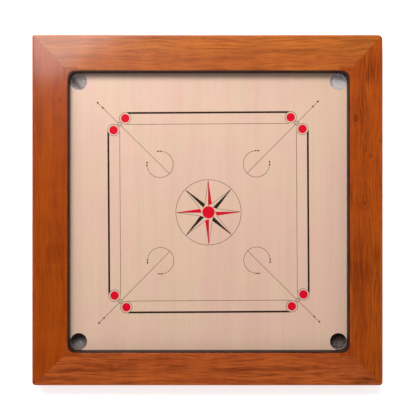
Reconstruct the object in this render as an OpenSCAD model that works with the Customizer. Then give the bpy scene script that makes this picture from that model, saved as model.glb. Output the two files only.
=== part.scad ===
// Carrom board: a square board with a mitred hardwood frame, black linings that the
// pieces rebound from, a birch plywood panel on crossed battens, four corner pockets
// with nets, and the marks of play printed on the panel.
// Millimetres. The frame stands on z = 0 with the middle of its outline on the z axis,
// and -y is the front. Corners 0 to 3 are front left, front right, back right and back
// left; side 0 is the front, and each corner or side is a quarter turn on from the one
// before. The back and left rails are a little wider than the other two, so the modules
// work from the middle of the opening, and the whole board is moved over at the end.

/* [Frame] */
// Width of each rail seen from above, from side 0 to side 3
rail_w = [87, 88, 95, 94]; // [85:1:96]
// Height of each rail
rail_h = 50; // [49:1:56]
// Radius of the long outer edges on top
top_edge_r = 4; // [2:0.5:4.5]
// Radius of the long outer edges underneath
foot_edge_r = 1.5; // [0.5:0.5:2]
// Radius of the four upright corners, from corner 0 to corner 3
upright_r = [9, 9, 13, 5]; // [5:1:14]
// Side of the square block let into each inside corner
block_side = 36.5; // [33:0.5:38]

/* [Playing field] */
// Side of the square field between the linings
field_side = 740; // [735:1:745]
// Height of the field above the underside of the frame
field_z = 28; // [27:0.5:29]
// Thickness of the plywood panel
panel_t = 12; // [11:0.5:12.5]
// Radius of each pocket
pocket_r = 22.25; // [21:0.25:22.25]
// Thickness of the lining along the rails
lining_t = 4; // [3.5:0.5:6]
// Radius of the lining's face at each corner
lining_corner_r = 22.5; // [22.5:0.25:24]
// Radius of the wood's inside corners, behind the lining
opening_corner_r = 20; // [18:0.5:26]

/* [Underside] */
// Width of each batten
batten_w = 40; // [30:1:44]
// Gap between the battens and the table
batten_gap = 2; // [1.5:0.5:3]
// Distance from the centre to the outer battens
batten_offset = 230; // [226:1:238]
// Outer radius of each net where it is stapled to the panel
net_rim_r = 39; // [38:0.5:40]

/* [Marks of play] */
// Turn of the print, which isn't quite square to the frame
print_turn = 0.35; // [0:0.05:0.5]
// How far right and back of the field's centre the middle of the print falls
print_at = [0, -1.8]; // [-5:0.1:5]
// Half the length of each base line, to the centre of its end circle
base_half = 221.5; // [220:0.5:224]
// Distance from the board's centre to the middle of each pair of base lines
base_mid = 252.9; // [252:0.1:256]
// Outer radius of the base circles
base_ring_r = 15.9; // [15:0.1:16]
// Radius of the red spot in each base circle
base_spot_r = 11.4; // [10:0.1:13]
// Distance from the board's centre to each corner arc's centre
arc_offset = 182.4; // [180:0.1:188]
// Radius of the corner arcs
arc_r = 35.8; // [34:0.1:38]
// Opening in each corner arc, in degrees
arc_opening = 61; // [50:1:70]
// Distance from the board's centre to the tip of each corner arrow
arrow_tip = 421.4; // [415:0.1:425]
// Outer radius of the circle at the centre
centre_r = 87.8; // [84:0.1:92]
// Radius of the red spot at the centre
centre_spot_r = 16.5; // [15:0.1:18]

/* [Hidden] */
$fn = 96;

SIDES = ["front", "right", "back", "left"];
CORNERS = ["front_left", "front_right", "back_right", "back_left"];
BATTENS = ["first", "middle", "last"];
RAILS = [for (s = SIDES) str("rail_", s)];
BLOCKS = [for (c = CORNERS) str("corner_block_", c)];
STRIPS = [for (s = SIDES) str("lining_", s)];
BENDS = [for (c = CORNERS) str("lining_corner_", c)];
LONG_BATTENS = [for (b = BATTENS) str("batten_across_", b)];
CROSS_BATTENS = [for (b = BATTENS) str("batten_along_", b)];
SPLINES = [for (c = CORNERS) str("mitre_spline_", c)];
PLATES = [for (c = CORNERS) str("corner_plate_", c)];
NETS = [for (c = CORNERS) str("pocket_net_", c)];

rail_colour = [0.66, 0.33, 0.12];
block_colour = [0.62, 0.27, 0.1];
lining_colour = [0.12, 0.09, 0.07];
birch_colour = [0.9, 0.77, 0.64];
batten_colour = [0.78, 0.62, 0.42];
steel_colour = [0.72, 0.72, 0.74];
net_colour = [0.82, 0.82, 0.84];
black_ink = [0.1, 0.09, 0.08];
red_ink = [0.85, 0.05, 0.12];

// How far a cutting shape runs past the face that it cuts
past = 1;

// Frame
opening_half = field_side / 2 + lining_t;
opening_corner = [-opening_half, -opening_half];
inner_edge_r = 1;
lining_edge_r = 1.5;
lining_h = rail_h - field_z;
// Centre of each corner's bends, of the pocket too
bend_at = field_side / 2 - lining_corner_r;
// Centre of the round in each of the wood's inside corners
opening_round_at = opening_half - opening_corner_r;

// The rabbet under each rail's inner edge, which the panel is screwed up into
rabbet_w = 15;
rabbet_half = opening_half + rabbet_w;
panel_play = 0.3;
panel_under = field_z - panel_t;

// The loose tongue glued across each mitre
spline_t = 6;
spline_w = 36;
spline_z = rail_h / 2 - 1;
spline_margin = 8;

// Battens, half-lapped where they cross and housed in the rails at their ends
batten_t = panel_under - batten_gap;
batten_housing = 12;
batten_half = rabbet_half + batten_housing;

// Flat steel plates let in flush under the corners
plate_t = 1.6;
plate_w = 20;
plate_leg = 66;
plate_inset = 26;
plate_screws_at = [26, 54];

// Countersunk screws: shank and head radius
panel_screw_r = 1.75;
panel_head_r = 3.5;
batten_screw_r = 2;
batten_head_r = 4;
panel_screw_l = 26;
batten_screw_l = 34;
crossing_screw_l = field_z - batten_gap - 3;
plate_screw_l = 18;
screws_per_side_at = [-300, -180, -60, 60, 180, 300];
// From the centre of the bend to the screw that holds the corner block, along each axis
block_screw_out = 26.5;

// Nets: a shallow bag under each pocket with a rim stapled to the panel
net_t = 1.2;
net_bag_r = net_rim_r - 3;
net_floor = batten_gap;
net_rim_w = 11;
staples_per_net = 6;
staple_wire = 0.7;
staple_crown = 7;
staple_leg = 7;
staple_ring_r = net_rim_r - 5;

// Marks of play
ink_t = 0.15;
line_w = 1;
base_line_w = 5;
base_line_proud = 0.7;
ink_gap = 0.3;
arrow_head_l = 6.5;
arrow_head_w = 5.4;
arrow_head_pitch = 18.7;
arc_head_l = 5.4;
arc_head_w = 4.8;
arc_head_pitch = 11.5;
box_side = 10;
star_waist_r = 24;
star_inner_r = 18;
star_tip_r = centre_r - line_w - ink_gap;
star_outline_w = 0.8;
star_outline_trim = 1.2;
// Between a point's filled half and the line beside it
star_gap = 0.1;

// ---------------------------------------------------------------- where the frame ends

// From the middle of the opening to the outer face of side k
function reach(k) = opening_half + rail_w[k % 4];

// The frame's outer corner k, turned to where corner 0 is
function outer_corner(k) = [-reach(k + 3), -reach(k)];

function quarter_turn(point) = [-point[1], point[0]];

// What moves the middle of the frame's outline to the z axis
centring = [reach(3) - reach(1), reach(0) - reach(2)] / 2;

// ---------------------------------------------------------------- shared shapes

// Turns a shape made for side or corner 0 to side or corner k
module turn(k) {
    rotate([0, 0, 90 * k]) children();
}

// The shape and its mirror image across corner 0's diagonal
module both_legs() {
    children();
    mirror([1, -1, 0]) children();
}

// Flat waste that rounds off a square corner at the origin, whose solid is at +x +y
module round_off(r) {
    difference() {
        translate([-past, -past]) square(r + past);
        translate([r, r]) circle(r);
    }
}

// Countersunk wood screw pointing up, with the flat of its head at z = 0
module screw_body(shank_r, head_r, length) {
    tip_l = 5;
    rim_t = 0.4;
    rotate_extrude() polygon([
        [0, 0], [head_r, 0], [head_r, rim_t], [shank_r, rim_t + head_r - shank_r],
        [shank_r, length - tip_l], [0, length]
    ]);
}

// The same screw with a cross recess in its head
module screw(shank_r, head_r, length) {
    slot_w = head_r * 0.28;
    slot_l = head_r * 1.1;
    slot_deep = head_r * 0.35;
    difference() {
        screw_body(shank_r, head_r, length);
        for (a = [0, 90])
            rotate([0, 0, a]) translate([-slot_l / 2, -slot_w / 2, -past])
                cube([slot_l, slot_w, slot_deep + past]);
    }
}

// ---------------------------------------------------------------- where fasteners go

// Under the panel's edge on the front side, and under corner block 0
module at_panel_screws() {
    for (x = screws_per_side_at)
        translate([x, -(opening_half + rabbet_w / 2), panel_under]) children();
    translate([-(bend_at + block_screw_out), -(bend_at + block_screw_out), panel_under]) children();
}

// Under the three batten ends on the front side
module at_batten_end_screws() {
    for (i = [-1 : 1])
        translate([i * batten_offset, -(rabbet_half + batten_housing / 2), batten_gap]) children();
}

// Up through every place where two battens cross
module at_batten_crossings() {
    for (i = [-1 : 1], j = [-1 : 1])
        translate([i * batten_offset, j * batten_offset, batten_gap]) children();
}

// Where the legs of the plate at corner k meet, and its mirror image across them
module at_plate_legs(k) {
    translate(outer_corner(k) + [plate_inset, plate_inset]) both_legs() children();
}

// Up through the plate at corner k
module at_plate_screws(k) {
    at_plate_legs(k) for (d = plate_screws_at) translate([d, 0, 0]) children();
}

// Round the rim of the net at corner 0
module at_staples() {
    translate([-bend_at, -bend_at, panel_under])
        for (i = [0 : staples_per_net - 1])
            rotate([0, 0, 360 / staples_per_net * i + 15]) translate([staple_ring_r, 0, 0]) children();
}

// ---------------------------------------------------------------- frame

// Cross-section of rail k, with y along x and height along y
module rail_section(k) {
    difference() {
        translate([-reach(k), 0]) square([rail_w[k], rail_h]);
        translate([-rabbet_half, -past]) square([rabbet_w + past, field_z + past]);
        translate([-reach(k), rail_h]) mirror([0, 1]) round_off(top_edge_r);
        translate([-reach(k), 0]) round_off(foot_edge_r);
        translate([-opening_half, rail_h]) rotate(180) round_off(inner_edge_r);
    }
}

// What is cut away to round upright corner k, with its top and foot edges
module upright_waste(k) {
    r = upright_r[k % 4];
    translate(outer_corner(k)) difference() {
        translate([-past, -past, -past]) cube([r + past, r + past, rail_h + 2 * past]);
        translate([r, r, 0]) rotate_extrude() difference() {
            square([r, rail_h]);
            translate([r, rail_h]) rotate(180) round_off(top_edge_r);
            translate([r, 0]) mirror([1, 0]) round_off(foot_edge_r);
        }
    }
}

// Two points on the mitre at corner k, just outside the frame and just inside the opening
function mitre_ends(k) =
    let (over = (outer_corner(k) - opening_corner) * 0.02)
    [outer_corner(k) + over, opening_corner - over];

// The wedge of plan that belongs to rail k, out to both mitres
module mitre_wedge(k) {
    left = mitre_ends(k);
    right = [for (point = mitre_ends(k + 1)) quarter_turn(point)];
    translate([0, 0, -past]) linear_extrude(rail_h + 2 * past)
        polygon([left[0], right[0], right[1], left[1]]);
}

// Everything that is let into both rails at corner k
module corner_cuts(k) {
    upright_waste(k);
    block_recess();
    spline_body(k);
    plate_body(k);
    at_plate_screws(k) screw_body(batten_screw_r, batten_head_r, plate_screw_l);
}

module rail(k) {
    color(rail_colour) turn(k) difference() {
        intersection() {
            translate([-reach(k + 3), 0, 0]) rotate([90, 0, 90])
                linear_extrude(reach(k + 3) + reach(k + 1)) rail_section(k);
            mitre_wedge(k);
        }
        corner_cuts(k);
        turn(1) corner_cuts(k + 1);
        for (i = [-1 : 1])
            translate([i * batten_offset - batten_w / 2, -batten_half, -past])
                cube([batten_w, batten_housing + past, panel_under + past]);
        at_batten_end_screws() screw_body(batten_screw_r, batten_head_r, batten_screw_l);
        at_panel_screws() screw_body(panel_screw_r, panel_head_r, panel_screw_l);
    }
}

// Room in the top of the mitre for corner block 0
module block_recess() {
    translate([-bend_at - block_side, -bend_at - block_side, field_z])
        cube([block_side, block_side, lining_h + past]);
}

// The opening's corner 0 in plan, out to the joints with the straight linings
module opening_bend() {
    leg = opening_half - bend_at;
    translate([-opening_round_at, -opening_round_at]) circle(opening_corner_r);
    translate([-opening_half, -opening_round_at]) square([leg, opening_round_at - bend_at]);
    translate([-opening_round_at, -opening_half]) square([opening_round_at - bend_at, leg]);
}

// Block that fills inside corner 0 behind the lining's bend
module corner_block(k) {
    color(block_colour) turn(k) difference() {
        translate([-bend_at - block_side, -bend_at - block_side, field_z])
            cube([block_side, block_side, lining_h]);
        translate([0, 0, field_z - past]) linear_extrude(lining_h + 2 * past) opening_bend();
        at_panel_screws() screw_body(panel_screw_r, panel_head_r, panel_screw_l);
    }
}

// A flat bar across the mitre at corner k, clear of the rabbet and of the outside
module spline_body(k) {
    mitre = outer_corner(k) - opening_corner;
    start = rabbet_w * sqrt(2) + spline_w / 2 + spline_margin;
    end = norm(mitre) - spline_w / 2 - spline_margin;
    translate(opening_corner) rotate([0, 0, atan2(mitre[1], mitre[0])])
        translate([start, -spline_w / 2, spline_z]) cube([end - start, spline_w, spline_t]);
}

module mitre_spline(k) {
    color(batten_colour) turn(k) spline_body(k);
}

// L-shaped plate with round ends, flush with the underside of corner k
module plate_body(k) {
    linear_extrude(plate_t) at_plate_legs(k) {
        translate([-plate_w / 2, -plate_w / 2]) square([plate_leg + plate_w / 2, plate_w]);
        translate([plate_leg, 0]) circle(plate_w / 2);
    }
}

module corner_plate(k) {
    color(steel_colour) turn(k) difference() {
        plate_body(k);
        at_plate_screws(k) screw_body(batten_screw_r, batten_head_r, plate_screw_l);
    }
}

// ---------------------------------------------------------------- linings

// Cross-section of a lining, with its face at x = 0 and its back at x = -lining_t
module lining_section() {
    difference() {
        translate([-lining_t, 0]) square([lining_t, lining_h]);
        translate([0, lining_h]) rotate(180) round_off(lining_edge_r);
    }
}

module lining_strip(k) {
    color(lining_colour) turn(k) translate([-bend_at, -field_side / 2, field_z])
        rotate([90, 0, 90]) linear_extrude(2 * bend_at) lining_section();
}

// Half the section of what is cut from a bend: the pocket's corner and the rounded top edge
module bend_waste() {
    translate([0, -past]) square([lining_corner_r, lining_h + 2 * past]);
    translate([lining_corner_r, lining_h]) rotate(-90) round_off(lining_edge_r);
}

module lining_bend(k) {
    color(lining_colour) turn(k) difference() {
        translate([0, 0, field_z]) linear_extrude(lining_h) opening_bend();
        translate([-bend_at, -bend_at, field_z]) rotate_extrude() bend_waste();
    }
}

// ---------------------------------------------------------------- panel and underside

module playing_panel() {
    side = 2 * (rabbet_half - panel_play);
    color(birch_colour) difference() {
        translate([-side / 2, -side / 2, panel_under]) cube([side, side, panel_t]);
        for (k = [0 : 3]) turn(k) {
            translate([-bend_at, -bend_at, panel_under - past])
                cylinder(h = panel_t + 2 * past, r = pocket_r);
            at_panel_screws() screw_body(panel_screw_r, panel_head_r, panel_screw_l);
            at_staples() staple();
        }
        at_batten_crossings() screw_body(panel_screw_r, panel_head_r, crossing_screw_l);
    }
}

// A batten along x at side position i, before its laps are cut
module batten_bar(i) {
    translate([-batten_half, i * batten_offset - batten_w / 2, batten_gap])
        cube([2 * batten_half, batten_w, batten_t]);
}

// Room for the three battens that cross, over half the thickness from z upwards
module batten_laps(z) {
    for (j = [-1 : 1])
        translate([j * batten_offset - batten_w / 2, -batten_half, z])
            cube([batten_w, 2 * batten_half, batten_t / 2]);
}

module batten_screw_holes() {
    for (k = [0 : 3]) turn(k)
        at_batten_end_screws() screw_body(batten_screw_r, batten_head_r, batten_screw_l);
    at_batten_crossings() screw_body(panel_screw_r, panel_head_r, crossing_screw_l);
}

// Runs from left to right and keeps its upper half where it crosses the others
module batten_across(i) {
    color(batten_colour) difference() {
        batten_bar(i);
        batten_laps(batten_gap);
        batten_screw_holes();
    }
}

// Runs from front to back and keeps its lower half
module batten_along(i) {
    color(batten_colour) difference() {
        turn(1) difference() {
            batten_bar(-i);
            batten_laps(batten_gap + batten_t / 2);
        }
        batten_screw_holes();
    }
}

// ---------------------------------------------------------------- pockets

// A squat bag that the board's weight gathers up under the pocket
module pocket_net(k) {
    color(net_colour) turn(k) difference() {
        translate([-bend_at, -bend_at, 0]) rotate_extrude() {
            translate([net_rim_r - net_rim_w, panel_under - net_t]) square([net_rim_w, net_t]);
            translate([net_bag_r - net_t, net_floor])
                square([net_t, panel_under - net_floor]);
            translate([0, net_floor]) square([net_bag_r, net_t]);
        }
        at_staples() staple();
    }
}

// Wire staple with its legs pointing up, astride the rim of a net
module staple() {
    depth = 1.2;
    leg_at = (staple_crown - staple_wire) / 2;
    for (s = [-1, 1])
        translate([-depth / 2, s * leg_at - staple_wire / 2, -net_t - staple_wire])
            cube([depth, staple_wire, net_t + staple_wire + staple_leg]);
    translate([-depth / 2, -staple_crown / 2, -net_t - staple_wire])
        cube([depth, staple_crown, staple_wire]);
}

// ---------------------------------------------------------------- fasteners

module panel_screws() {
    color(steel_colour) for (k = [0 : 3]) turn(k)
        at_panel_screws() screw(panel_screw_r, panel_head_r, panel_screw_l);
}

module batten_end_screws() {
    color(steel_colour) for (k = [0 : 3]) turn(k)
        at_batten_end_screws() screw(batten_screw_r, batten_head_r, batten_screw_l);
}

module batten_crossing_screws() {
    color(steel_colour) at_batten_crossings()
        screw(panel_screw_r, panel_head_r, crossing_screw_l);
}

module corner_plate_screws() {
    color(steel_colour) for (k = [0 : 3]) turn(k)
        at_plate_screws(k) screw(batten_screw_r, batten_head_r, plate_screw_l);
}

module net_staples() {
    color(steel_colour) for (k = [0 : 3]) turn(k) at_staples() staple();
}

// ---------------------------------------------------------------- marks of play

// Lays flat artwork on the field as a film of ink
module ink(colour) {
    color(colour) translate([0, 0, field_z]) linear_extrude(ink_t) children();
}

module ring(r) {
    difference() {
        circle(r);
        circle(r - line_w);
    }
}

// The eight places where a base circle closes a pair of base lines
module at_base_circles() {
    for (k = [0 : 3], s = [-1, 1]) rotate(90 * k) translate([s * base_half, -base_mid]) children();
}

// Artwork along the +x axis, laid on each of the four diagonals
module on_diagonals() {
    for (k = [0 : 3]) rotate(45 + 90 * k) children();
}

// Solid arrow head with its tip at the origin, pointing along +x
module head(length, width) {
    polygon([[0, 0], [-length, width / 2], [-length, -width / 2]]);
}

module base_lines_outer() {
    y = -(base_mid + base_ring_r + base_line_proud);
    reach = base_half - 4;
    ink(black_ink) difference() {
        for (k = [0 : 3]) rotate(90 * k) translate([-reach, y]) square([2 * reach, base_line_w]);
        at_base_circles() circle(base_ring_r + ink_gap);
    }
}

module base_lines_inner() {
    reach = base_half - 5;
    ink(black_ink) for (k = [0 : 3])
        rotate(90 * k) translate([-reach, base_ring_r - base_mid]) square([2 * reach, line_w]);
}

module base_rings() {
    ink(black_ink) at_base_circles() ring(base_ring_r);
}

module base_spots() {
    ink(red_ink) at_base_circles() circle(base_spot_r);
}

// A small square between the two base circles at each corner, open where the arrow runs
module pair_boxes() {
    middle = (base_half + base_mid) / sqrt(2);
    inside = box_side - 2 * line_w;
    ink(black_ink) on_diagonals() translate([middle, 0]) difference() {
        square(box_side, center = true);
        square(inside, center = true);
        square([2 * box_side, line_w + 2 * ink_gap], center = true);
    }
}

module corner_arrows() {
    start = arc_offset - arc_r + line_w + ink_gap;
    ink(black_ink) on_diagonals() {
        translate([start, -line_w / 2]) square([arrow_tip - arrow_head_l / 2 - start, line_w]);
        translate([arrow_tip, 0]) head(arrow_head_l, arrow_head_w);
        translate([arrow_tip - arrow_head_pitch, 0]) head(arrow_head_l, arrow_head_w);
    }
}

// Most of a circle, open towards the pocket, with two arrow heads at each end
module corner_arcs() {
    far = 2 * arc_r;
    ink(black_ink) on_diagonals() translate([arc_offset, 0]) {
        difference() {
            ring(arc_r);
            polygon([
                [0, 0],
                far * [cos(arc_opening / 2), sin(arc_opening / 2)],
                far * [cos(arc_opening / 2), -sin(arc_opening / 2)]
            ]);
        }
        for (s = [-1, 1], i = [0, 1])
            rotate(s * (arc_opening / 2 + i * arc_head_pitch)) translate([arc_r - line_w / 2, 0])
                rotate(-90 * s) head(arc_head_l, arc_head_w);
    }
}

module centre_ring() {
    ink(black_ink) ring(centre_r);
}

module centre_spot() {
    ink(red_ink) circle(centre_spot_r);
}

function polar(r, a) = [r * cos(a), r * sin(a)];

// The printed half of a star point along +x, on its clockwise side
module half_point() {
    polygon([[star_tip_r, 0], polar(star_waist_r, -22.5), [star_inner_r, 0]]);
}

module star_red() {
    ink(red_ink) for (k = [0 : 3]) rotate(90 * k) half_point();
}

module star_black() {
    ink(black_ink) on_diagonals() half_point();
}

// The fine lines round the blank half of each of the eight points: along its outer side and
// beside its filled half
module star_outlines() {
    waist = polar(star_waist_r, 22.5);
    run = waist - [star_tip_r, 0];
    ink(black_ink) for (i = [0 : 7]) rotate(45 * i) {
        translate([star_tip_r, 0]) rotate(atan2(run[1], run[0]))
            translate([star_outline_trim, -star_outline_w])
                square([norm(run) - 2 * star_outline_trim, star_outline_w]);
        translate([star_inner_r, star_gap])
            square([star_tip_r - star_inner_r - 2 * star_outline_trim, star_outline_w]);
    }
}

// ---------------------------------------------------------------- nodes

translate(centring) {
    for (k = [0 : 3]) {
        rail(k);
        corner_block(k);
        lining_strip(k);
        lining_bend(k);
        mitre_spline(k);
        corner_plate(k);
        pocket_net(k);
    }
    for (b = [0 : 2]) {
        batten_across(b - 1);
        batten_along(b - 1);
    }
    playing_panel();
    panel_screws();
    batten_end_screws();
    batten_crossing_screws();
    corner_plate_screws();
    net_staples();
}

translate(centring) translate(print_at) rotate(print_turn) {
    base_lines_outer();
    base_lines_inner();
    base_rings();
    base_spots();
    pair_boxes();
    corner_arrows();
    corner_arcs();
    centre_ring();
    star_red();
    star_black();
    star_outlines();
    centre_spot();
}
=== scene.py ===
import math
import random
from collections import namedtuple

import bpy
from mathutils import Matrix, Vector


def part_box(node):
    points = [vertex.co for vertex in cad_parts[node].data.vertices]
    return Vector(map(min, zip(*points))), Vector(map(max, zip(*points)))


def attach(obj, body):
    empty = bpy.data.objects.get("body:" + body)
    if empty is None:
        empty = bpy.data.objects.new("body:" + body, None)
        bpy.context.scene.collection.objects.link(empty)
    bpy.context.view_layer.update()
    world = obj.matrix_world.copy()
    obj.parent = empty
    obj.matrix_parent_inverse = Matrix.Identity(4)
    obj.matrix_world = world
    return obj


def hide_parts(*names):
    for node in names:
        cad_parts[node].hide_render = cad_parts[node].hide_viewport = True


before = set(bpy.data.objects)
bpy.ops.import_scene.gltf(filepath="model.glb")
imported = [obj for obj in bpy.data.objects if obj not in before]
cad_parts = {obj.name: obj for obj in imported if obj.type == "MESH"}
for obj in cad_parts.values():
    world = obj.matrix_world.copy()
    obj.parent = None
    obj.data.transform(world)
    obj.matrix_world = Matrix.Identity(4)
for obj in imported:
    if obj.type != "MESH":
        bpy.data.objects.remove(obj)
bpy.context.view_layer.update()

SIDES = ("front", "right", "back", "left")
CORNERS = ("front_left", "front_right", "back_right", "back_left")
MM = 0.001

# Places in the row frame, in metres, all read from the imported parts
rail_boxes = {side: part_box(f"rail_{side}") for side in SIDES}
board_half = rail_boxes["right"][1].x
rail_top = rail_boxes["right"][1].z
panel_low, panel_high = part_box("playing_panel")
field_z = panel_high.z
panel_under = panel_low.z


# ------------------------------------------------------------------ node graphs

class Graph:
    """The nodes of one material. Each method adds a node, links it and returns its output."""

    def __init__(self, name):
        self.material = bpy.data.materials.new(name)
        self.material.use_nodes = True
        self.tree = self.material.node_tree
        self.shader = self.tree.nodes["Principled BSDF"]

    def put(self, socket, value):
        """Links an output to the socket, or sets the socket's own value."""
        if isinstance(value, bpy.types.NodeSocket):
            self.tree.links.new(value, socket)
        else:
            socket.default_value = value

    def node(self, kind, inputs, output=0, **settings):
        made = self.tree.nodes.new(kind)
        for name, value in settings.items():
            setattr(made, name, value)
        for key, value in inputs.items():
            self.put(made.inputs[key], value)
        return made.outputs[output]

    def place(self):
        """Position in the row frame, as three outputs."""
        here = self.node("ShaderNodeTexCoord", {}, "Object")
        split = self.tree.nodes.new("ShaderNodeSeparateXYZ")
        self.put(split.inputs[0], here)
        return split.outputs[0], split.outputs[1], split.outputs[2]

    def facing(self):
        """Direction that the surface faces, as three outputs."""
        normal = self.node("ShaderNodeNewGeometry", {}, "Normal")
        split = self.tree.nodes.new("ShaderNodeSeparateXYZ")
        self.put(split.inputs[0], normal)
        return split.outputs[0], split.outputs[1], split.outputs[2]

    def vector(self, x, y, z):
        return self.node("ShaderNodeCombineXYZ", {0: x, 1: y, 2: z})

    def stretched(self, place, scales):
        """A place (x, y, z) with each axis multiplied by its own scale."""
        return self.vector(*(self.math("MULTIPLY", axis, scale) for axis, scale in zip(place, scales)))

    def math(self, operation, a, b=0.0):
        return self.node("ShaderNodeMath", {0: a, 1: b}, operation=operation)

    def times_plus(self, a, scale, offset):
        return self.node("ShaderNodeMath", {0: a, 1: scale, 2: offset}, operation="MULTIPLY_ADD")

    def noise(self, vector, scale, detail=3.0, roughness=0.5):
        inputs = {"Vector": vector, "Scale": scale, "Detail": detail, "Roughness": roughness}
        return self.node("ShaderNodeTexNoise", inputs, "Fac")

    def cells(self, vector, scale):
        return self.node("ShaderNodeTexVoronoi", {"Vector": vector, "Scale": scale}, "Distance")

    def fade(self, value, start, end, low=0.0, high=1.0):
        """Goes smoothly from low at start to high at end."""
        inputs = {"Value": value, "From Min": start, "From Max": end, "To Min": low, "To Max": high}
        return self.node("ShaderNodeMapRange", inputs, interpolation_type="SMOOTHSTEP")

    def ramp(self, value, stops):
        """Colour along a ramp of (position, colour) stops."""
        made = self.tree.nodes.new("ShaderNodeValToRGB")
        elements = made.color_ramp.elements
        while len(elements) < len(stops):
            elements.new(1.0)
        for element, (position, colour) in zip(elements, stops):
            element.position = position
            element.color = (*colour, 1.0)
        self.put(made.inputs[0], value)
        return made.outputs[0]

    def mix(self, factor, a, b, blend="MIX"):
        made = self.tree.nodes.new("ShaderNodeMix")
        made.data_type = "RGBA"
        made.blend_type = blend
        self.put(made.inputs[0], factor)
        self.put(made.inputs[6], as_colour(a))
        self.put(made.inputs[7], as_colour(b))
        return made.outputs[2]

    def tinge(self, colour, other, value, start, end, share):
        """Mixes another colour in, from none where the value is start to the share where it is end."""
        return self.mix(self.fade(value, start, end, 0.0, share), colour, other)

    def spot(self, a, b, centre, size):
        """A soft blob: 1 at the centre, falling to 0 over about size in a and in b."""
        squares = []
        for value, middle, reach in zip((a, b), centre, size):
            share = self.math("DIVIDE", self.math("SUBTRACT", value, middle), reach)
            squares.append(self.math("MULTIPLY", share, share))
        return self.math("EXPONENT", self.math("MULTIPLY", self.math("ADD", *squares), -1.0))

    def bump(self, height, distance, strength=1.0):
        inputs = {"Height": height, "Distance": distance, "Strength": strength}
        self.put(self.shader.inputs["Normal"], self.node("ShaderNodeBump", inputs))

    def finish(self, colour, roughness, **constants):
        self.put(self.shader.inputs["Base Color"], as_colour(colour))
        self.put(self.shader.inputs["Roughness"], roughness)
        for name, value in constants.items():
            self.shader.inputs[name.replace("_", " ")].default_value = value
        return self.material


def as_colour(value):
    """A plain red, green and blue triple as a colour with alpha; an output as it is."""
    return (*value, 1.0) if isinstance(value, tuple) and len(value) == 3 else value


def dress(names, material):
    """Gives CAD nodes one material."""
    for name in names:
        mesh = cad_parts[name].data
        mesh.materials.clear()
        mesh.materials.append(material)


# ------------------------------------------------------------------ varnished hardwood

def scaled(colour, share):
    return tuple(share * c for c in colour)


def grain_noise(graph, place, along_scale, across_scale, seed, detail=3.0, roughness=0.55):
    """Noise drawn out along the grain. place is (along, across, depth)."""
    along, across, depth = place
    stretched = graph.vector(graph.times_plus(along, along_scale, seed),
                             graph.math("MULTIPLY", across, across_scale),
                             graph.math("MULTIPLY", depth, across_scale))
    return graph.noise(stretched, 1.0, detail, roughness)


def bend_grain(graph, place, seed, knots):
    """Lets the grain wander, and part round each knot. knots are (along, across, radius)."""
    along, across, depth = place
    slow = graph.math("SUBTRACT", grain_noise(graph, place, 2.2, 9.0, seed, 2.0), 0.5)
    quick = graph.math("SUBTRACT", grain_noise(graph, place, 13.0, 34.0, seed + 7.0, 2.0), 0.5)
    bent = graph.math("ADD", across, graph.math("MULTIPLY", slow, 0.055))
    bent = graph.math("ADD", bent, graph.math("MULTIPLY", quick, 0.007))
    for a, c, radius in knots:
        near = graph.spot(along, across, (a, c), (4.5 * radius, 3.0 * radius))
        push = graph.math("MULTIPLY", near, graph.math("SUBTRACT", across, c))
        bent = graph.math("SUBTRACT", bent, graph.math("MULTIPLY", push, 0.85))
    return along, bent, depth


def mitre_distance(graph, x, y):
    """Distance to the mitre of the corner that the point is near, in metres."""
    shares = []
    for axis, low_side, high_side in ((x, "left", "right"), (y, "front", "back")):
        half_difference = (rail_width(high_side) - rail_width(low_side)) / 2
        mean = (rail_width(high_side) + rail_width(low_side)) / 2
        inwards = graph.math("SUBTRACT", board_half, graph.math("ABSOLUTE", axis))
        width = graph.times_plus(graph.math("SIGN", axis), half_difference, mean)
        shares.append(graph.math("DIVIDE", inwards, width))
    off = graph.math("ABSOLUTE", graph.math("SUBTRACT", *shares))
    mean_width = (rail_width("right") + rail_width("left")) / 2
    return graph.math("MULTIPLY", off, mean_width / math.sqrt(2))


def rail_width(side):
    low, high = rail_boxes[side]
    return min(high.x - low.x, high.y - low.y)


def square_reach(graph, x, y):
    """How far out from the board's middle a point is, on the square whose side it lies on."""
    return graph.math("MAXIMUM", graph.math("ABSOLUTE", x), graph.math("ABSOLUTE", y))


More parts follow.
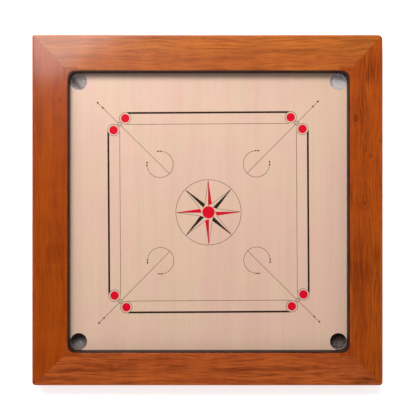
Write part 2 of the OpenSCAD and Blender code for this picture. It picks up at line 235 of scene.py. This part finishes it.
def hardwood(name, runs_along_x, seed, tones, knots=(), stains=(), contrast=1.0):
    """Varnished hardwood, in light, middle and dark tones.

    Places are along and across the rail, in metres. Knots are (along, across, radius), and stains
    are (along, across, length, width, share).
    """
    graph = Graph(name)
    x, y, z = graph.place()
    along, across = (x, y) if runs_along_x else (y, x)
    light, middling, dark = tones

    straight = (along, across, z)
    bent = bend_grain(graph, straight, seed, knots)
    bands = grain_noise(graph, bent, 1.5, 24.0, seed)
    streaks = grain_noise(graph, bent, 5.0, 95.0, seed * 1.3, 4.0, 0.62)
    lines = grain_noise(graph, bent, 11.0, 300.0, seed * 1.9, 4.0, 0.65)
    flecks = grain_noise(graph, bent, 24.0, 180.0, seed * 2.3, 3.0, 0.6)
    fibre = grain_noise(graph, bent, 60.0, 2400.0, seed * 2.7, 2.0, 0.6)
    ripple = grain_noise(graph, straight, 22.0, 12.0, seed * 3.1, 2.0)

    colour = graph.mix(graph.fade(bands, 0.34, 0.66), light, middling)
    colour = graph.tinge(colour, dark, streaks, 0.46, 0.72, 0.8 * contrast)
    colour = graph.tinge(colour, dark, lines, 0.44, 0.68, 0.8 * contrast)
    colour = graph.tinge(colour, dark, flecks, 0.5, 0.7, 0.35 * contrast)
    colour = graph.tinge(colour, scaled(light, 1.35), flecks, 0.46, 0.3, 0.25 * contrast)
    colour = graph.tinge(colour, dark, fibre, 0.5, 0.85, 0.3)
    colour = graph.tinge(colour, scaled(light, 1.3), ripple, 0.35, 0.7, 0.16)
    for a, c, radius in knots:
        spot = graph.spot(along, across, (a, c), (1.5 * radius, 1.1 * radius))
        ring = graph.math("MULTIPLY", graph.fade(spot, 0.15, 0.4), graph.fade(spot, 0.85, 0.55))
        colour = graph.mix(graph.math("MULTIPLY", ring, 0.6), colour, scaled(dark, 0.6))
        colour = graph.tinge(colour, scaled(dark, 0.4), spot, 0.9, 0.98, 0.7)
    for a, c, length, width, share in stains:
        blot = graph.spot(along, across, (a, c), (length, width))
        ragged = graph.math("MULTIPLY", blot, graph.fade(lines, 0.36, 0.6, 0.35, 1.0))
        colour = graph.mix(graph.math("MULTIPLY", ragged, share), colour, scaled(dark, 0.7))

    # A fine dark glue line at each mitre, and varnish worn thin along the outer edges
    off_mitre = mitre_distance(graph, x, y)
    colour = graph.tinge(colour, scaled(dark, 0.5), off_mitre, 1.2 * MM, 0.3 * MM, 0.25)
    at_edge = graph.fade(square_reach(graph, x, y), board_half - 5 * MM, board_half - MM)
    worn = graph.math("MULTIPLY", at_edge, graph.fade(streaks, 0.4, 0.65, 0.1, 0.5))
    colour = graph.mix(worn, colour, scaled(light, 1.3))

    # Open grain and the slight orange peel of the varnish
    peel = graph.noise(graph.vector(x, y, z), 190.0, 2.0)
    grain = graph.math("MULTIPLY", graph.math("ADD", fibre, lines), 0.3)
    graph.bump(graph.math("ADD", grain, graph.math("MULTIPLY", peel, 0.5)), 0.2 * MM, 0.5)
    shine = graph.fade(bands, 0.2, 0.8, 0.22, 0.3)
    roughness = graph.math("ADD", shine, graph.math("MULTIPLY", fibre, 0.06))
    return graph.finish(colour, roughness, Coat_Weight=0.55, Coat_Roughness=0.12,
                        Specular_IOR_Level=0.18)


def dress_frame():
    """One board of the same timber for each rail, each with its own figure."""
    amber = ((0.485, 0.132, 0.021), (0.405, 0.092, 0.015), (0.20, 0.037, 0.006))
    chestnut = ((0.44, 0.084, 0.006), (0.34, 0.053, 0.003), (0.15, 0.020, 0.002))
    russet = ((0.37, 0.062, 0.003), (0.31, 0.046, 0.002), (0.17, 0.024, 0.001))
    brown = ((0.48, 0.104, 0.020), (0.40, 0.073, 0.014), (0.17, 0.028, 0.005))
    rails = {
        "back": dict(runs_along_x=True, seed=3.1, tones=amber, contrast=0.8,
                     stains=[(0.21, 0.421, 0.14, 0.006, 0.55), (0.06, 0.40, 0.1, 0.005, 0.3),
                             (0.46, 0.42, 0.10, 0.06, 0.35), (-0.43, 0.43, 0.08, 0.05, 0.3)]),
        "front": dict(runs_along_x=True, seed=11.4, tones=brown, contrast=1.0,
                      stains=[(0.424, -0.446, 0.022, 0.010, 1.0), (0.395, -0.456, 0.020, 0.006, 0.9),
                              (-0.085, -0.414, 0.045, 0.010, 0.6), (0.11, -0.425, 0.09, 0.008, 0.5),
                              (-0.28, -0.425, 0.07, 0.005, 0.5), (0.46, -0.42, 0.12, 0.05, 0.3)]),
        # The left and right rails' last, broad stain is painted shade, darker over the rail's front half
        "left": dict(runs_along_x=False, seed=23.7, tones=russet, contrast=0.6,
                     knots=[(0.292, -0.392, 0.004)],
                     stains=[(-0.105, -0.40, 0.03, 0.03, 0.4), (-0.14, -0.42, 0.15, 0.06, 0.2)]),
        "right": dict(runs_along_x=False, seed=37.9, tones=chestnut, contrast=0.85,
                      knots=[(0.019, 0.418, 0.0035), (0.144, 0.432, 0.004), (0.184, 0.457, 0.003),
                             (0.244, 0.394, 0.005)],
                      stains=[(0.375, 0.436, 0.026, 0.011, 0.9), (0.352, 0.425, 0.016, 0.007, 0.8),
                              (0.40, 0.415, 0.016, 0.006, 0.7), (0.26, 0.41, 0.09, 0.006, 0.5),
                              (-0.40, 0.45, 0.05, 0.012, 0.5), (-0.19, 0.42, 0.15, 0.06, 0.4)]),
    }
    for side, look in rails.items():
        dress([f"rail_{side}"], hardwood(f"hardwood_{side}", **look))
    red = ((0.36, 0.064, 0.007), (0.29, 0.045, 0.005), (0.15, 0.022, 0.003))
    for number, corner in enumerate(CORNERS):
        look = hardwood(f"hardwood_block_{corner}", number % 2 == 0, 5.3 * number + 2.0, red, contrast=0.8)
        dress([f"corner_block_{corner}"], look)


# ------------------------------------------------------------------ linings, birch, softwood

def black_lacquer():
    """Black satin lacquer over straight grain, scuffed pale where the counters strike it."""
    graph = Graph("black_lacquer")
    x, y, z = graph.place()
    here = graph.vector(x, y, z)
    grain = graph.noise(graph.stretched((x, y, z), (12.0, 12.0, 700.0)), 1.0, 3.0)
    cloud = graph.noise(here, 30.0, 3.0)
    strike = graph.fade(z, field_z + 12 * MM, field_z + 3 * MM)
    dents = graph.noise(here, 240.0, 4.0, 0.7)
    scuff = graph.math("MULTIPLY", strike, graph.fade(dents, 0.56, 0.72))
    colour = graph.mix(graph.fade(cloud, 0.3, 0.7), (0.018, 0.006, 0.003), (0.034, 0.011, 0.005))
    colour = graph.mix(graph.math("MULTIPLY", scuff, 0.3), colour, (0.09, 0.06, 0.04))
    graph.bump(graph.math("ADD", grain, cloud), 0.12 * MM, 0.5)
    satin = graph.fade(grain, 0.2, 0.8, 0.4, 0.52)
    roughness = graph.math("ADD", satin, graph.math("MULTIPLY", scuff, 0.2))
    return graph.finish(colour, roughness, Specular_IOR_Level=0.2)


def birch_grain(graph, x, y, z):
    """Faint figure of birch veneer, straight from front to back: its colour, and its fibre as a height."""
    pale, warm = (0.70, 0.475, 0.355), (0.665, 0.440, 0.335)
    cream, pink = (0.66, 0.50, 0.32), (0.72, 0.42, 0.37)
    place = (x, y, z)
    bands = graph.noise(graph.stretched(place, (26.0, 1.3, 1.0)), 1.0, 3.0, 0.5)
    flame = graph.noise(graph.stretched(place, (95.0, 4.5, 1.0)), 1.0, 4.0, 0.6)
    fibre = graph.noise(graph.stretched(place, (1500.0, 45.0, 1500.0)), 1.0, 2.0, 0.6)
    patches = graph.noise(graph.vector(x, y, z), 9.0, 2.0)
    colour = graph.mix(graph.fade(bands, 0.3, 0.7), pale, warm)
    colour = graph.mix(0.24, colour, graph.mix(graph.fade(patches, 0.4, 0.6), cream, pink))
    colour = graph.tinge(colour, (0.60, 0.39, 0.27), flame, 0.45, 0.75, 0.3)
    colour = graph.tinge(colour, (0.52, 0.33, 0.22), fibre, 0.5, 0.85, 0.3)
    return colour, fibre


def ply_layers(graph, z):
    """Edges of the thin sheets that the panel is glued up from, darkened with painted shade for the
    pockets.
    """
    sheet_thickness = 1.5 * MM
    sheets = graph.math("DIVIDE", graph.math("SUBTRACT", z, panel_under), sheet_thickness)
    sheet = graph.math("FRACT", sheets)
    # The tones are darker than bare birch: painted shade on the pocket walls
    return graph.ramp(sheet, [(0.0, (0.08, 0.04, 0.025)), (0.12, (0.24, 0.155, 0.10)),
                              (0.55, (0.29, 0.19, 0.125)), (0.95, (0.18, 0.11, 0.07))])


def birch_plywood():
    """Lacquered birch face above, bare veneer below, and stacked layers on the cut edges."""
    graph = Graph("birch_plywood")
    x, y, z = graph.place()
    face, fibre = birch_grain(graph, x, y, z)
    up = graph.facing()[2]
    cut_edge = graph.fade(graph.math("ABSOLUTE", up), 0.7, 0.4)
    below = graph.fade(up, -0.4, -0.7)
    bare = graph.mix(0.55, face, (0.5, 0.33, 0.2))
    colour = graph.mix(below, face, bare)
    colour = graph.mix(cut_edge, colour, ply_layers(graph, z))
    polish = graph.noise(graph.vector(x, y, z), 45.0, 3.0)
    matt = graph.math("MAXIMUM", cut_edge, below)
    graph.bump(fibre, 0.08 * MM, 0.4)
    satin = graph.fade(polish, 0.3, 0.7, 0.3, 0.38)
    roughness = graph.math("ADD", satin, graph.math("MULTIPLY", matt, 0.35))
    return graph.finish(colour, roughness, Coat_Weight=0.2, Coat_Roughness=0.22)


def softwood(name, runs_along_x, seed):
    """Sanded pine without varnish, straight-grained, with a few small knots."""
    graph = Graph(name)
    x, y, z = graph.place()
    along, across = (x, y) if runs_along_x else (y, x)
    bent = bend_grain(graph, (along, across, z), seed, ())
    rings = graph.math("FRACT", graph.math("MULTIPLY", graph.math("ADD", bent[1], z), 210.0))
    late = graph.ramp(rings, [(0.0, (0, 0, 0)), (0.6, (0.35,) * 3), (0.92, (1, 1, 1)), (1.0, (0, 0, 0))])
    fibre = grain_noise(graph, bent, 40.0, 1500.0, seed, 2.0, 0.6)
    knots = graph.cells(graph.vector(graph.times_plus(along, 6.0, seed),
                                     graph.math("MULTIPLY", across, 14.0), 0.0), 1.0)
    colour = graph.mix(graph.math("MULTIPLY", late, 0.6), (0.60, 0.40, 0.21), (0.42, 0.22, 0.09))
    colour = graph.tinge(colour, (0.36, 0.2, 0.09), fibre, 0.45, 0.85, 0.3)
    colour = graph.tinge(colour, (0.16, 0.07, 0.03), knots, 0.09, 0.05, 0.85)
    graph.bump(graph.math("ADD", fibre, graph.math("MULTIPLY", late, 0.6)), 0.2 * MM, 0.6)
    return graph.finish(colour, graph.fade(fibre, 0.2, 0.8, 0.62, 0.78))


# ------------------------------------------------------------------ inks, steel, net cord

def ink(name, thick, thin):
    """Screen-printed ink under the lacquer: solid, a little thinner in places, over the veneer's grain."""
    graph = Graph(name)
    x, y, z = graph.place()
    fibre = birch_grain(graph, x, y, z)[1]
    cover = graph.noise(graph.vector(x, y, z), 160.0, 4.0, 0.6)
    colour = graph.tinge(thick, thin, cover, 0.45, 0.75, 0.7)
    graph.bump(graph.math("ADD", fibre, graph.math("MULTIPLY", cover, 0.5)), 0.06 * MM, 0.4)
    return graph.finish(colour, graph.fade(cover, 0.3, 0.7, 0.34, 0.44), Specular_IOR_Level=0.1)


def zinc_steel():
    """Bright zinc plate, faintly mottled, with dull patches."""
    graph = Graph("zinc_steel")
    x, y, z = graph.place()
    here = graph.vector(x, y, z)
    mottle = graph.noise(here, 260.0, 4.0, 0.6)
    dull = graph.noise(here, 60.0, 3.0)
    brushed = graph.noise(graph.stretched((x, y, z), (3000.0, 300.0, 1.0)), 1.0, 2.0)
    colour = graph.mix(graph.fade(mottle, 0.3, 0.7), (0.62, 0.62, 0.64), (0.46, 0.46, 0.47))
    colour = graph.tinge(colour, (0.36, 0.33, 0.28), dull, 0.58, 0.75, 0.5)
    graph.bump(graph.math("ADD", brushed, mottle), 0.05 * MM, 0.5)
    shine = graph.fade(mottle, 0.3, 0.7, 0.26, 0.42)
    roughness = graph.math("ADD", shine, graph.math("MULTIPLY", dull, 0.1))
    return graph.finish(colour, roughness, Metallic=1.0)


def net_cord(corner, centre, look):
    """Twisted cord, with light and shade painted on as the net's tones towards the back and the front,
    and painted shade in its fold.
    """
    graph = Graph(f"net_cord_{corner}")
    x, y, z = graph.place()
    here = graph.vector(x, y, z)
    fuzz = graph.noise(here, 2600.0, 3.0, 0.65)
    grime = graph.noise(here, 60.0, 3.0)
    colour = graph.mix(graph.fade(fuzz, 0.3, 0.7), (0.66, 0.63, 0.63), (0.54, 0.51, 0.51))
    colour = graph.tinge(colour, (0.36, 0.33, 0.32), grime, 0.45, 0.7, 0.35)
    reach = 12 * MM
    # Painted light and shade: the cord is lighter or darker towards the back of the pocket than the front
    tone = graph.mix(graph.fade(y, centre.y + reach, centre.y - reach), look.back_tone, look.front_tone)
    colour = graph.mix(1.0, colour, tone, "MULTIPLY")

    out_x, out_y = across_fold(look)
    out = graph.math("ADD", graph.math("MULTIPLY", x, out_x), graph.math("MULTIPLY", y, out_y))
    fold_out = centre.x * out_x + centre.y * out_y + look.fold_off
    crease_width = 3.4 * MM
    # Painted shade: the cord is darkened along the fold's crease, in ragged patches
    crease = graph.spot(out, 0.0, (fold_out, 0.0), (crease_width, 1.0))
    fold_shade_patches = graph.fade(graph.noise(here, 420.0, 2.0), 0.3, 0.6, 0.45 * look.fold_grime, look.fold_grime)
    colour = graph.mix(graph.math("MULTIPLY", crease, fold_shade_patches), colour, (0.13, 0.065, 0.06))
    graph.bump(fuzz, 0.25 * MM, 0.8)
    return graph.finish(colour, graph.fade(fuzz, 0.2, 0.8, 0.55, 0.8), Sheen_Weight=0.15)


def net_tape():
    """Plain-woven cotton tape: fine threads across and along, softly uneven in tone."""
    graph = Graph("net_tape")
    x, y, z = graph.place()
    thread_turns = 9000.0
    across, along = (graph.math("SINE", graph.math("MULTIPLY", axis, thread_turns)) for axis in (x, y))
    threads = graph.math("MULTIPLY", across, along)
    tone = graph.noise(graph.vector(x, y, z), 220.0, 3.0)
    colour = graph.mix(graph.fade(threads, -0.6, 0.6), (0.42, 0.40, 0.38), (0.60, 0.57, 0.54))
    colour = graph.tinge(colour, (0.32, 0.29, 0.26), tone, 0.4, 0.75, 0.5)
    graph.bump(threads, 0.3 * MM, 0.8)
    return graph.finish(colour, graph.fade(tone, 0.2, 0.8, 0.7, 0.85), Sheen_Weight=0.15)


def dress_parts():
    """Every CAD node except the rails and their corner blocks."""
    linings = [f"lining_{side}" for side in SIDES] + [f"lining_corner_{corner}" for corner in CORNERS]
    dress(linings, black_lacquer())
    dress(["playing_panel"], birch_plywood())
    for number, place in enumerate(("first", "middle", "last")):
        dress([f"batten_across_{place}"], softwood(f"softwood_across_{place}", True, 4.1 + number))
        dress([f"batten_along_{place}"], softwood(f"softwood_along_{place}", False, 9.3 + number))
    dress([f"mitre_spline_{corner}" for corner in CORNERS], softwood("softwood_spline", True, 15.0))
    fixings = ["corner_plate_screws", "panel_screws", "batten_end_screws", "batten_crossing_screws",
               "net_staples"]
    dress([f"corner_plate_{corner}" for corner in CORNERS] + fixings, zinc_steel())
    dress(["base_lines_outer", "base_lines_inner", "base_rings", "pair_boxes", "corner_arrows",
           "corner_arcs", "centre_ring", "star_black", "star_outlines"],
          ink("black_ink", (0.022, 0.012, 0.008), (0.06, 0.035, 0.025)))
    dress(["base_spots", "star_red", "centre_spot"],
          ink("red_ink", (0.63, 0.003, 0.019), (0.55, 0.005, 0.025)))


# ------------------------------------------------------------------ pocket nets

NET_SCALE = 20.0  # the cloth solver works best on sheets about a metre across
CORD_RADIUS = 0.5 * MM
KNOT_RADIUS = 0.85 * MM
NET_PITCH = 3.0 * MM
RIM_RADIUS = 35.5 * MM
RIM_HEIGHT = 14.0 * MM
RIM_BAND = 1.5 * NET_PITCH  # knots this near to the edge are held by the binding
BUNCH_RADIUS = 20.0 * MM  # what stands up in the pocket; the rest lies round it under the panel
LOW_NET = 10.0 * MM  # a net with a lower top than this lies nearly flat on the table
SETTLE_STEPS = 30

# A net's look: the radius it was cut to, the height that it is bunched up to, the turn of its meshes
# in degrees, the fold across it, and how light its cord is towards the back and the front of the
# board, which is painted light and shade: the back nets are lighter at the back, under the lining's
# shadow. The fold lies square to its direction (degrees), so far off the middle, so deep, and so
# darkened with painted shade.
NetLook = namedtuple("NetLook", "cut_radius top turned fold_direction fold_off fold_depth fold_grime "
                                "back_tone front_tone")
NETS = {
    "front_left": NetLook(
        cut_radius=68 * MM, top=17 * MM, turned=20,
        fold_direction=30, fold_off=4 * MM, fold_depth=9 * MM, fold_grime=0.5,
        back_tone=(0.38, 0.30, 0.30), front_tone=(0.42, 0.36, 0.37)),
    "front_right": NetLook(
        cut_radius=62 * MM, top=9 * MM, turned=52,
        fold_direction=-40, fold_off=2 * MM, fold_depth=5 * MM, fold_grime=0.2,
        back_tone=(0.085, 0.034, 0.024), front_tone=(0.155, 0.10, 0.09)),
    "back_right": NetLook(
        cut_radius=78 * MM, top=27.8 * MM, turned=8,
        fold_direction=75, fold_off=10 * MM, fold_depth=5 * MM, fold_grime=0.12,
        back_tone=(1.5, 1.47, 1.48), front_tone=(1.46, 1.38, 1.4)),
    "back_left": NetLook(
        cut_radius=77 * MM, top=27.4 * MM, turned=38,
        fold_direction=219, fold_off=9 * MM, fold_depth=12 * MM, fold_grime=0.8,
        back_tone=(1.4, 1.25, 1.2), front_tone=(1.25, 1.1, 1.08)),
}


def pocket_centre(corner):
    """The middle of a pocket, on the table."""
    low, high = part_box(f"pocket_net_{corner}")
    return Vector(((low.x + high.x) / 2, (low.y + high.y) / 2, 0.0))


def across_fold(look):
    """The level direction that a net's fold lies square to, as (x, y)."""
    heading = math.radians(look.fold_direction)
    return math.cos(heading), math.sin(heading)


def add_object(name, corners, faces, material=None):
    """A mesh object of its own name, with one material or none."""
    mesh = bpy.data.meshes.new(name)
    mesh.from_pydata(corners, [], faces)
    if material:
        mesh.materials.append(material)
    made = bpy.data.objects.new(name, mesh)
    bpy.context.scene.collection.objects.link(made)
    return made


def net_profile(top):
    """From the middle of a bunched net out to its rim, as (radius, height)."""
    if top < LOW_NET:
        return [(0.0, 0.7 * top), (14 * MM, 0.6 * top), (28 * MM, 3 * MM), (34 * MM, 7 * MM),
                (RIM_RADIUS, RIM_HEIGHT)]
    return [(0.0, top - 2 * MM), (9 * MM, top - 1.6 * MM), (16 * MM, top - 2.5 * MM),
            (19.5 * MM, top - 6 * MM), (BUNCH_RADIUS, 0.6 * top), (23 * MM, 4 * MM), (30 * MM, 2 * MM),
            (34.5 * MM, 6 * MM), (RIM_RADIUS, RIM_HEIGHT)]


def along_profile(profile, share):
    """The point a given share of the way along a run of (radius, height) points."""
    steps = [math.dist(a, b) for a, b in zip(profile, profile[1:])]
    left = share * sum(steps)
    for (start, end), step in zip(zip(profile, profile[1:]), steps):
        if left <= step:
            part = left / step
            return [a + part * (b - a) for a, b in zip(start, end)]
        left -= step
    return profile[-1]


def net_lattice(cut_radius):
    """A flat disc of square meshes: its knots as (u, v), and its meshes as rings of four knots."""
    reach = int(cut_radius / NET_PITCH) + 1
    knots = {}
    for i in range(-reach, reach + 1):
        for j in range(-reach, reach + 1):
            if math.hypot(i, j) * NET_PITCH <= cut_radius:
                knots[i, j] = len(knots)
    meshes = []
    for i, j in knots:
        ring = [(i, j), (i + 1, j), (i + 1, j + 1), (i, j + 1)]
        if all(place in knots for place in ring):
            meshes.append([knots[place] for place in ring])
    used = sorted({knot for mesh in meshes for knot in mesh})
    renumber = {old: new for new, old in enumerate(used)}
    places = list(knots)
    flat = [(places[old][0] * NET_PITCH, places[old][1] * NET_PITCH) for old in used]
    return flat, [[renumber[knot] for knot in mesh] for mesh in meshes]


def bunch_up(flat, look, chance):
    """Where each knot starts: gathered along the profile, creased, rippled and a little uneven."""
    profile = net_profile(look.top)
    out_x, out_y = across_fold(look)
    fold_width = 3.5 * MM
    ripple = 0.5 * MM
    lowest = 1.5 * MM
    waves = [(chance.uniform(0.0, math.tau), chance.uniform(0.45, 0.9) / MM, chance.uniform(0.0, math.tau))
             for _ in range(5)]
    starts = []
    for u, v in flat:
        out = math.hypot(u, v)
        angle = math.atan2(v, u) + math.radians(look.turned)
        radius, height = along_profile(profile, min(1.0, out / look.cut_radius))
        x, y = radius * math.cos(angle), radius * math.sin(angle)
        if radius < BUNCH_RADIUS:
            past_fold = x * out_x + y * out_y - look.fold_off
            height -= look.fold_depth * math.exp(-(past_fold / fold_width) ** 2)
            for heading, turns, start in waves:
                along = x * math.cos(heading) + y * math.sin(heading)
                height -= ripple * (1 + math.sin(turns * along + start))
            height = max(height, lowest)
        jitter = 0.0 if out > look.cut_radius - RIM_BAND else 0.5 * MM
        starts.append([c + chance.uniform(-jitter, jitter) for c in (x, y)]
                      + [height - chance.uniform(0.0, jitter)])
    return starts


def add_helper(name, corners, faces):
    """A temporary object for the cloth to meet, at the solver's scale."""
    helper = add_object(name, [[NET_SCALE * c for c in corner] for corner in corners], faces)
    helper.modifiers.new("collision", "COLLISION")
    helper.collision.thickness_outer = 0.01
    helper.collision.cloth_friction = 20.0
    return helper


def add_blade(look):
    """A straight edge that holds down the fold across a net while it settles."""
    out_x, out_y = across_fold(look)
    half_thickness, half_length = 1.0 * MM, 19.0 * MM
    corners = []
    for z in (look.top - look.fold_depth + 1.5 * MM, look.top + 2 * MM):
        for across, along in ((-half_thickness, -half_length), (half_thickness, -half_length),
                              (half_thickness, half_length), (-half_thickness, half_length)):
            out = look.fold_off + across
            corners.append((out * out_x - along * out_y, out * out_y + along * out_x, z))
    sides = [(k, (k + 1) % 4, 4 + (k + 1) % 4, 4 + k) for k in range(4)]
    return add_helper("blade", corners, [(3, 2, 1, 0), (4, 5, 6, 7)] + sides)


def add_cavity(top):
    """What hems a net in: the table, the panel's underside, the pocket's wall and the air above."""
    ring = 48
    hole = 21.6 * MM
    outer = 37.0 * MM
    table = 0.3 * MM
    profile = [(outer, table), (outer, panel_under), (hole, panel_under), (hole, top)]
    corners = [(r * math.cos(a), r * math.sin(a), z)
               for r, z in profile for a in (math.tau * k / ring for k in range(ring))]
    faces = [(row * ring + k, row * ring + (k + 1) % ring, (row + 1) * ring + (k + 1) % ring,
              (row + 1) * ring + k) for row in range(len(profile) - 1) for k in range(ring)]
    faces.append(tuple(range(ring)))
    faces.append(tuple(range((len(profile) - 1) * ring, len(profile) * ring)))
    return add_helper("cavity", corners, faces)


def settle(starts, flat, meshes, look):
    """Lets the gathered disc spread to its cut size between the table and the panel, as cloth."""
    cloth = add_object("net_cloth", [[c * NET_SCALE for c in start] for start in starts], meshes)
    held = [k for k, (u, v) in enumerate(flat) if math.hypot(u, v) > look.cut_radius - RIM_BAND]
    rim = cloth.vertex_groups.new(name="rim")
    rim.add(held, 1.0, "REPLACE")
    cloth.shape_key_add(name="gathered")
    cut = cloth.shape_key_add(name="cut")
    for point, (u, v) in zip(cut.data, flat):
        point.co = (u * NET_SCALE, v * NET_SCALE, 0.0)

    modifier = cloth.modifiers.new("cloth", "CLOTH")
    settings = modifier.settings
    settings.vertex_group_mass = "rim"
    settings.rest_shape_key = cut
    settings.quality = 7
    settings.mass = 0.2
    settings.tension_stiffness = settings.compression_stiffness = 25.0
    settings.shear_stiffness = 3.0
    settings.bending_stiffness = 0.4
    settings.air_damping = 5.0
    settings.effector_weights.gravity = 0.25
    collisions = modifier.collision_settings
    collisions.distance_min = 0.012
    collisions.collision_quality = 3
    collisions.use_self_collision = True
    collisions.self_distance_min = 0.02

    helpers = [cloth, add_cavity(look.top), add_blade(look)]
    for moment in range(1, SETTLE_STEPS + 1):
        bpy.context.scene.frame_set(moment)
    settled = cloth.evaluated_get(bpy.context.evaluated_depsgraph_get())
    places = [vertex.co / NET_SCALE for vertex in settled.data.vertices]
    for helper in helpers:
        bpy.data.objects.remove(helper)
    bpy.context.scene.frame_set(1)
    return places


def hem_in(place, top):
    """Puts back a knot that slipped out of the space that the net has."""
    out = math.hypot(place.x, place.y)
    widest = 37.5 * MM if place.z < panel_under - MM else 21.5 * MM
    shrink = min(1.0, widest / max(out, 1e-9))
    return Vector((place.x * shrink, place.y * shrink, min(max(place.z, KNOT_RADIUS), top)))


def lay_cord(corners, faces, start, end):
    """Adds a round cord from one knot to the next."""
    facets = 5
    along = (end - start).normalized()
    up = along.orthogonal().normalized()
    over = along.cross(up)
    first = len(corners)
    for place in (start, end):
        for k in range(facets):
            turn = math.tau * k / facets
            corners.append(place + CORD_RADIUS * (math.cos(turn) * up + math.sin(turn) * over))
    faces += [(first + k, first + (k + 1) % facets, first + facets + (k + 1) % facets,
               first + facets + k) for k in range(facets)]


def tie_knot(corners, faces, place):
    """Adds a knot as a small body of eight faces, which smooth shading rounds off."""
    first = len(corners)
    for point in ((1, 0, 0), (0, 1, 0), (-1, 0, 0), (0, -1, 0), (0, 0, 1), (0, 0, -1)):
        corners.append(place + Vector(point) * KNOT_RADIUS)
    for k in range(4):
        faces.append((first + k, first + (k + 1) % 4, first + 4))
        faces.append((first + (k + 1) % 4, first + k, first + 5))


def knot_cords(name, places, meshes, material):
    """One mesh of cords along the sides of the net's meshes, with a knot where they meet."""
    sides = sorted({tuple(sorted(pair)) for mesh in meshes for pair in zip(mesh, mesh[1:] + mesh[:1])})
    corners, faces = [], []
    for a, b in sides:
        lay_cord(corners, faces, places[a], places[b])
    for place in places:
        tie_knot(corners, faces, place)
    net = add_object(name, corners, faces, material)
    net.data.shade_smooth()
    return net


def squared_off(value, power):
    """A sine or cosine raised to a power below 1 with its sign kept, which squares off a round section."""
    return math.copysign(abs(value) ** power, value)


def add_binding(corner, centre, material):
    """The tape that binds a net's edge, a little wavy where the staples pinch it."""
    ring, rows = 96, 10
    inner, outer = 29 * MM, 38.6 * MM
    thickness = 1.0 * MM
    below_panel = 0.66 * MM
    wave_height, wave_count = 0.12 * MM, 18
    corners = []
    for k in range(ring):
        angle = math.tau * k / ring
        droop = wave_height * math.cos(wave_count * angle)
        for row in range(rows):
            turn = math.tau * row / rows
            radius = (inner + outer) / 2 + (outer - inner) / 2 * squared_off(math.cos(turn), 0.5)
            height = panel_under - below_panel + droop * (1 - math.sin(turn)) / 2
            height += thickness / 2 * squared_off(math.sin(turn), 0.6)
            corners.append((centre.x + radius * math.cos(angle), centre.y + radius * math.sin(angle),
                            height))
    faces = [(k * rows + row, ((k + 1) % ring) * rows + row, ((k + 1) % ring) * rows + (row + 1) % rows,
              k * rows + (row + 1) % rows) for k in range(ring) for row in range(rows)]
    binding = add_object(f"net_binding_{corner}", corners, faces, material)
    binding.data.shade_smooth()
    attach(binding, "root")
    return binding


def add_nets():
    """The four nets and their bindings. Each net stands for the plain solid that the CAD part has."""
    first_seed = 40
    tape = net_tape()
    for number, (corner, look) in enumerate(NETS.items()):
        chance = random.Random(first_seed + number)
        centre = pocket_centre(corner)
        flat, meshes = net_lattice(look.cut_radius)
        places = [Vector(start) for start in bunch_up(flat, look, chance)]
        places = settle(places, flat, meshes, look)
        places = [hem_in(place, look.top) + centre for place in places]
        net = knot_cords(f"net_{corner}", places, meshes, net_cord(corner, centre, look))
        binding = add_binding(corner, centre, tape)
        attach(net, "root")
        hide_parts(f"pocket_net_{corner}")


# ------------------------------------------------------------------ studio

def add_camera():
    """Square on from above, at the height that gives the photograph's small amount of perspective."""
    height = 2.06  # above the top of the frame
    view_across = 1.102  # what the picture takes in there
    off_centre = (0.0016, 0.0056)
    sensor = 36.0
    data = bpy.data.cameras.new("camera")
    data.sensor_width = sensor
    data.lens = sensor * height / view_across
    camera = bpy.data.objects.new("camera", data)
    camera.location = (*off_centre, rail_top + height)
    bpy.context.scene.collection.objects.link(camera)
    bpy.context.scene.camera = camera


def add_softbox(name, location, size, watts):
    """A rectangular softbox, size[0] wide and size[1] deep, aimed at the middle of the board."""
    data = bpy.data.lights.new(name, "AREA")
    data.shape = "RECTANGLE"
    data.size, data.size_y = size
    data.energy = watts
    light = bpy.data.objects.new(name, data)
    light.location = location
    light.rotation_euler = (-light.location).to_track_quat("-Z", "Y").to_euler()
    bpy.context.scene.collection.objects.link(light)


def add_world():
    """Soft light from all round, from a room whose ceiling above the camera is dark."""
    world = bpy.data.worlds.new("studio")
    world.use_nodes = True
    tree = world.node_tree
    background = tree.nodes["Background"]
    direction = tree.nodes.new("ShaderNodeTexCoord")
    parts = tree.nodes.new("ShaderNodeSeparateXYZ")
    ceiling = tree.nodes.new("ShaderNodeMapRange")
    ceiling.interpolation_type = "SMOOTHSTEP"
    room_strength, ceiling_strength = 0.66, 0.04
    fading = {"From Min": 0.66, "From Max": 0.88, "To Min": room_strength, "To Max": ceiling_strength}
    for name, value in fading.items():
        ceiling.inputs[name].default_value = value
    tree.links.new(direction.outputs["Generated"], parts.inputs[0])
    tree.links.new(parts.outputs[2], ceiling.inputs["Value"])
    tree.links.new(ceiling.outputs[0], background.inputs["Strength"])
    background.inputs["Color"].default_value = (1.0, 1.0, 1.0, 1.0)
    bpy.context.scene.world = world


def add_floor():
    """A white table that glows round the board, which keeps the shadow pale, but not under it."""
    graph = Graph("studio_floor")
    x, y, z = graph.place()
    speckle = graph.noise(graph.vector(x, y, z), 300.0, 2.0)
    glow = graph.fade(square_reach(graph, x, y), board_half - 6 * MM, board_half - MM, 0.0, 0.6)
    graph.put(graph.shader.inputs["Emission Strength"], glow)
    graph.finish(graph.mix(speckle, (0.86, 0.86, 0.86), (0.9, 0.9, 0.9)), 0.7,
                 Emission_Color=(1.0, 1.0, 1.0, 1.0))
    half = 20.0
    corners = [(-half, -half, 0.0), (half, -half, 0.0), (half, half, 0.0), (-half, half, 0.0)]
    add_object("floor", corners, [(0, 1, 2, 3)], graph.material)


def add_studio():
    """The key light stands behind the board, and a small light puts a sheen on its back left corner."""
    add_camera()
    add_softbox("key_above_back", (-0.60, 2.10, 2.5), (2.2, 1.2), 102.0)
    add_softbox("glint_back_left", (-0.70, 1.08, 2.3), (0.8, 0.4), 7.7)
    add_world()
    add_floor()
    bpy.context.scene.view_settings.view_transform = "Standard"


add_studio()
dress_frame()
dress_parts()
add_nets()
